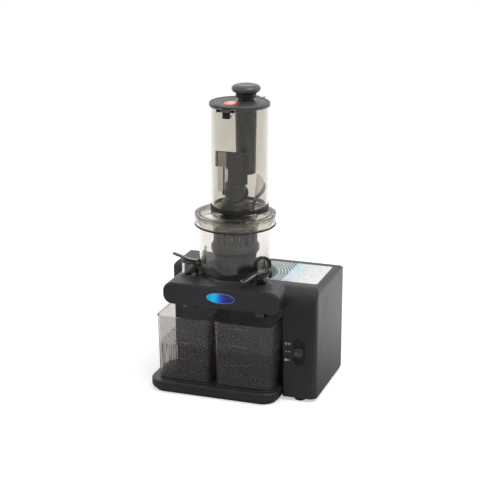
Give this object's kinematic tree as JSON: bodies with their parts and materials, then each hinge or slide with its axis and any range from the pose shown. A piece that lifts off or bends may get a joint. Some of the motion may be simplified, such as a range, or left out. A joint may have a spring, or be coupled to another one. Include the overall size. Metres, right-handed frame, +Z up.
{
  "type": "cold press juicer",
  "caption": "Upright cold press juicer: motor housing with slide switch, clear bowl with strainer and auger, tall feed chute with lid and pusher, tray with two bins.",
  "frame": {"origin": "centre of the footprint's bounding box on the table, under the lowest point", "axes": "+Z up, -Y towards the user (deck and containers), +X to the user's right (switch column)"},
  "size_m": [0.273, 0.2026, 0.486],
  "materials": {
    "charcoal_body": "satin charcoal moulding",
    "fascia_dark": "smooth near-black plate",
    "badge_blue": "blue oval plate, bare",
    "printed_panel": "printed film, white and pale teal",
    "dark_plastic": "black moulding",
    "screw_steel": "zinc plated",
    "foot_rubber": "black rubber",
    "seal_rubber": "dark silicone",
    "switch_black": "black bezel",
    "slider_black": "ribbed black slider",
    "board_green": "coated circuit board",
    "motor_steel": "pressed steel",
    "stator_copper": "laminations with copper windings",
    "shaft_steel": "ground steel",
    "gear_nylon": "moulded nylon",
    "bearing_bronze": "sintered bronze",
    "spout_black": "black spout",
    "tray_black": "black tray",
    "smoke_container": "smoke-tinted clear plastic",
    "smoke_bowl": "lightly smoked clear plastic",
    "smoke_outlet": "smoke-tinted clear plastic",
    "lever_black": "black lever",
    "plug_rubber": "silicone plug",
    "strainer_black": "dark strainer frame",
    "screen_steel": "perforated steel",
    "auger_black": "dark auger",
    "smoke_chute": "lightly smoked clear plastic",
    "gasket_black": "black gasket",
    "insert_black": "black insert",
    "lid_black": "black lid",
    "label_red": "bare red label",
    "stem_black": "black stem",
    "knob_grey": "dark grey knob"
  },
  "bodies": {
    "base": {"housing_shell": "charcoal_body", "deck_fascia": "fascia_dark", "badge_plate": "badge_blue", "top_panel": "printed_panel", "base_plate": "dark_plastic", "case_screws": "screw_steel", "feet": "foot_rubber", "deck_under_cover": "dark_plastic", "dock_ring": "dark_plastic", "shaft_seal": "seal_rubber", "rear_vent": "dark_plastic", "power_inlet": "dark_plastic", "switch_bezel": "switch_black", "switch_module": "dark_plastic", "control_board": "board_green", "motor_can": "motor_steel", "motor_stator": "stator_copper", "gearbox_case": "dark_plastic", "gearbox_cover": "dark_plastic", "gearbox_screws": "screw_steel", "idler_axle": "shaft_steel", "lower_bearing": "bearing_bronze", "upper_bearing": "bearing_bronze", "juice_downpipe": "spout_black", "pulp_downpipe": "spout_black"},
    "rotor": {"motor_rotor": "motor_steel", "motor_shaft": "shaft_steel", "motor_pinion": "shaft_steel", "cooling_fan": "dark_plastic"},
    "idler": {"idler_gear": "gear_nylon"},
    "drive": {"drive_gear": "gear_nylon", "drive_shaft": "shaft_steel"},
    "switch": {"switch_slider": "slider_black"},
    "bowl_set": {"bowl": "smoke_bowl", "bowl_packing": "seal_rubber", "juice_outlet": "smoke_outlet", "pulp_outlet": "smoke_outlet", "lever_pins": "shaft_steel", "strainer_frame": "strainer_black", "strainer_screen": "screen_steel"},
    "juice_cap": {"juice_lever": "lever_black", "juice_plug": "plug_rubber"},
    "pulp_cap": {"pulp_lever": "lever_black", "pulp_plug": "plug_rubber"},
    "auger_set": {"auger": "auger_black", "auger_screw": "auger_black", "auger_socket": "shaft_steel"},
    "hopper_set": {"hopper": "smoke_chute", "hopper_gaskets": "gasket_black", "feed_baffle": "insert_black", "feed_guide": "insert_black", "lid_pin": "shaft_steel"},
    "lid": {"hopper_lid": "lid_black", "lid_label": "label_red"},
    "latch": {"lid_latch": "lid_black"},
    "pusher": {"pusher_stem": "stem_black", "pusher_knob": "knob_grey"},
    "tray_base": {"tray": "tray_black"},
    "juice_box": {"juice_container": "smoke_container"},
    "pulp_box": {"pulp_container": "smoke_container"}
  },
  "joints": [
    {"name": "motor_spin", "type": "hinge", "parent": "base", "child": "rotor", "pos_m": [0.02406, 0.04661, 0.106], "axis": [0, 0, 1], "continuous": true},
    {"name": "idler_spin", "type": "hinge", "parent": "base", "child": "idler", "pos_m": [0.00075, 0.02773, 0.168], "axis": [0, 0, 1], "continuous": true},
    {"name": "drive_spin", "type": "hinge", "parent": "base", "child": "drive", "pos_m": [-0.018, -0.00475, 0.18], "axis": [0, 0, 1], "continuous": true},
    {"name": "auger_spin", "type": "hinge", "parent": "bowl_set", "child": "auger_set", "pos_m": [-0.018, -0.00475, 0.26], "axis": [0, 0, 1], "continuous": true},
    {"name": "switch_slide", "type": "slide", "parent": "base", "child": "switch", "axis": [0, 0, 1], "range_m": [-0.008, 0.008]},
    {"name": "bowl_lift", "type": "slide", "parent": "base", "child": "bowl_set", "axis": [0, 0, 1], "range_m": [0, 0.04]},
    {"name": "hopper_lift", "type": "slide", "parent": "bowl_set", "child": "hopper_set", "axis": [0, 0, 1], "range_m": [0, 0.11]},
    {"name": "lid_hinge", "type": "hinge", "parent": "hopper_set", "child": "lid", "pos_m": [-0.018, 0.06835, 0.459], "axis": [-1, 0, 0], "range_deg": [0, 6]},
    {"name": "latch_hinge", "type": "hinge", "parent": "lid", "child": "latch", "pos_m": [-0.022, -0.03495, 0.4594], "axis": [-1, 0, 0], "range_deg": [0, 15], "stiffness_Nm_per_rad": 0.01},
    {"name": "pusher_lift", "type": "slide", "parent": "lid", "child": "pusher", "axis": [0, 0, 1], "range_m": [0, 0.125]},
    {"name": "juice_lever_turn", "type": "hinge", "parent": "bowl_set", "child": "juice_cap", "pos_m": [-0.06624, -0.04618, 0.211], "axis": [0.2419, 0.9703, 0], "range_deg": [0, 60]},
    {"name": "pulp_lever_turn", "type": "hinge", "parent": "bowl_set", "child": "pulp_cap", "pos_m": [0.04871, -0.0373, 0.2045], "axis": [-0.8387, 0.5446, 0], "range_deg": [0, 60]},
    {"name": "tray_slide", "type": "slide", "parent": "base", "child": "tray_base", "axis": [0, -1, 0], "range_m": [0, 0.11]},
    {"name": "juice_box_slide", "type": "slide", "parent": "tray_base", "child": "juice_box", "axis": [0, -1, 0], "range_m": [0, 0.1]},
    {"name": "pulp_box_slide", "type": "slide", "parent": "tray_base", "child": "pulp_box", "axis": [0, -1, 0], "range_m": [0, 0.1]}
  ],
  "couplings": [
    {"joint": "idler_spin", "follows": "motor_spin", "ratio": -0.25},
    {"joint": "drive_spin", "follows": "motor_spin", "ratio": 0.0625},
    {"joint": "auger_spin", "follows": "motor_spin", "ratio": 0.0625}
  ]
}
